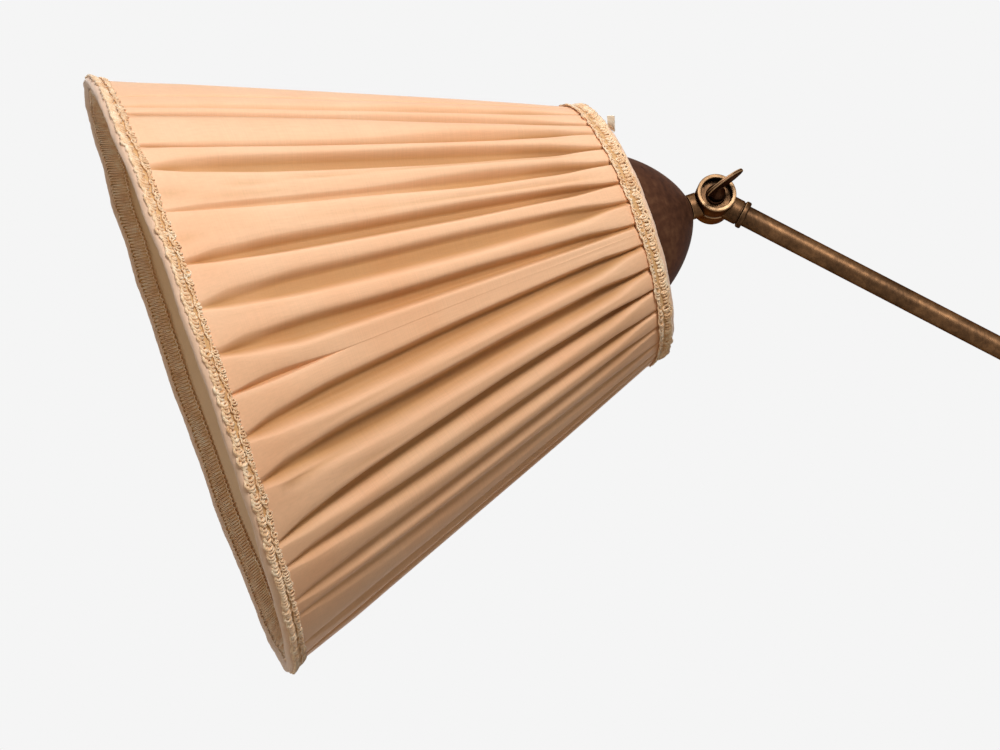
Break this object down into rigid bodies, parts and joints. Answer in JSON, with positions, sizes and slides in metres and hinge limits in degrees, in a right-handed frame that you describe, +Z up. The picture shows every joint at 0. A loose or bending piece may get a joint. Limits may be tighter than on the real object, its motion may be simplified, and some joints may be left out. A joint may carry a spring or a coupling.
{
  "type": "floor lamp",
  "caption": "Bridge floor lamp: round weighted base, telescopic column, tilting arm on clamp knuckles, domed cap and a pleated cloth shade.",
  "frame": {"origin": "middle of the underside of the base, on the floor", "axes": "+Z up along the column; the arm reaches towards -X; both tilting joints turn about Y and their wing keys face -Y"},
  "size_m": [0.798, 0.2826, 1.3142],
  "materials": {
    "patinated_brass": "antique patina, satin",
    "dark_brass": "dark antique patina, satin",
    "steel": "plain zinc-plated",
    "iron": "raw casting",
    "felt": "pressed felt",
    "rubber": "moulded",
    "bush_plastic": "turned, matte",
    "fibre": "vulcanised fibre",
    "bakelite": "moulded, semi-gloss",
    "ceramic": "glazed ceramic",
    "contact_brass": "bright",
    "bulb_metal": "drawn",
    "opal_glass": "frosted",
    "frame_wire": "cream enamel",
    "brass_wire": "satin",
    "shade_cloth": "peach satin, gathered in pleats",
    "lining_cloth": "fine plain weave",
    "trim_braid": "gimp braid",
    "trim_tape": "bias tape"
  },
  "bodies": {
    "stand": {"base_felt": "felt", "base_weight": "iron", "base_cover": "dark_brass", "base_pipe": "steel", "base_washer": "steel", "base_nut": "steel", "cord_bush": "rubber", "foot_collar": "patinated_brass", "column_plug": "steel", "lower_column": "patinated_brass", "column_collar": "patinated_brass", "collar_bush": "bush_plastic", "collar_grub": "steel"},
    "collar_key": {"collar_key": "patinated_brass"},
    "mast": {"upper_column": "patinated_brass", "guide_ring": "bush_plastic", "swivel_socket": "patinated_brass", "swivel_grub": "steel"},
    "turret": {"turret": "patinated_brass", "arm_nut": "steel"},
    "arm_key": {"arm_key": "patinated_brass"},
    "arm": {"arm_friction_washer": "fibre", "arm_heel": "patinated_brass", "arm_tube": "patinated_brass", "arm_wrist": "patinated_brass", "head_friction_washer": "fibre"},
    "head_key": {"head_key": "patinated_brass"},
    "head": {"head_knuckle": "patinated_brass", "head_nut": "steel", "cap": "dark_brass", "cap_washer": "steel", "cap_nut": "steel", "holder_top": "bakelite", "holder_body": "bakelite", "holder_insert": "ceramic", "holder_sleeve": "contact_brass", "holder_contact": "contact_brass", "clamp_ring": "bakelite", "bulb_cap": "bulb_metal", "bulb_glass": "opal_glass", "shade_spider": "brass_wire", "shade_ribs": "frame_wire", "shade_bottom_ring": "frame_wire", "shade_cover": "shade_cloth", "shade_lining": "lining_cloth", "top_binding": "trim_tape", "top_braid": "trim_braid", "bottom_braid": "trim_braid", "bottom_binding": "trim_tape", "inner_braid": "trim_braid", "tape_end": "trim_tape"}
  },
  "joints": [
    {"name": "mast_slide", "type": "slide", "parent": "stand", "child": "mast", "axis": [0, 0, 1], "range_m": [-0.2, 0.2]},
    {"name": "mast_swivel", "type": "hinge", "parent": "mast", "child": "turret", "pos_m": [0, 0, 1.08], "axis": [0, 0, 1], "range_deg": [-170, 170]},
    {"name": "arm_tilt", "type": "hinge", "parent": "turret", "child": "arm", "pos_m": [0, 0, 1.08], "axis": [0, 1, 0], "range_deg": [-38, 62]},
    {"name": "head_tilt", "type": "hinge", "parent": "arm", "child": "head", "pos_m": [-0.37255, 0, 1.27393], "axis": [0, 1, 0], "range_deg": [-52, 130]},
    {"name": "collar_key_turn", "type": "hinge", "parent": "stand", "child": "collar_key", "pos_m": [0, 0, 0.714], "axis": [0, -1, 0], "range_deg": [0, 540]},
    {"name": "arm_key_turn", "type": "hinge", "parent": "turret", "child": "arm_key", "pos_m": [0, 0, 1.08], "axis": [0, -1, 0], "range_deg": [0, 540]},
    {"name": "head_key_turn", "type": "hinge", "parent": "head", "child": "head_key", "pos_m": [-0.37255, 0, 1.27393], "axis": [0, -1, 0], "range_deg": [0, 540]}
  ]
}
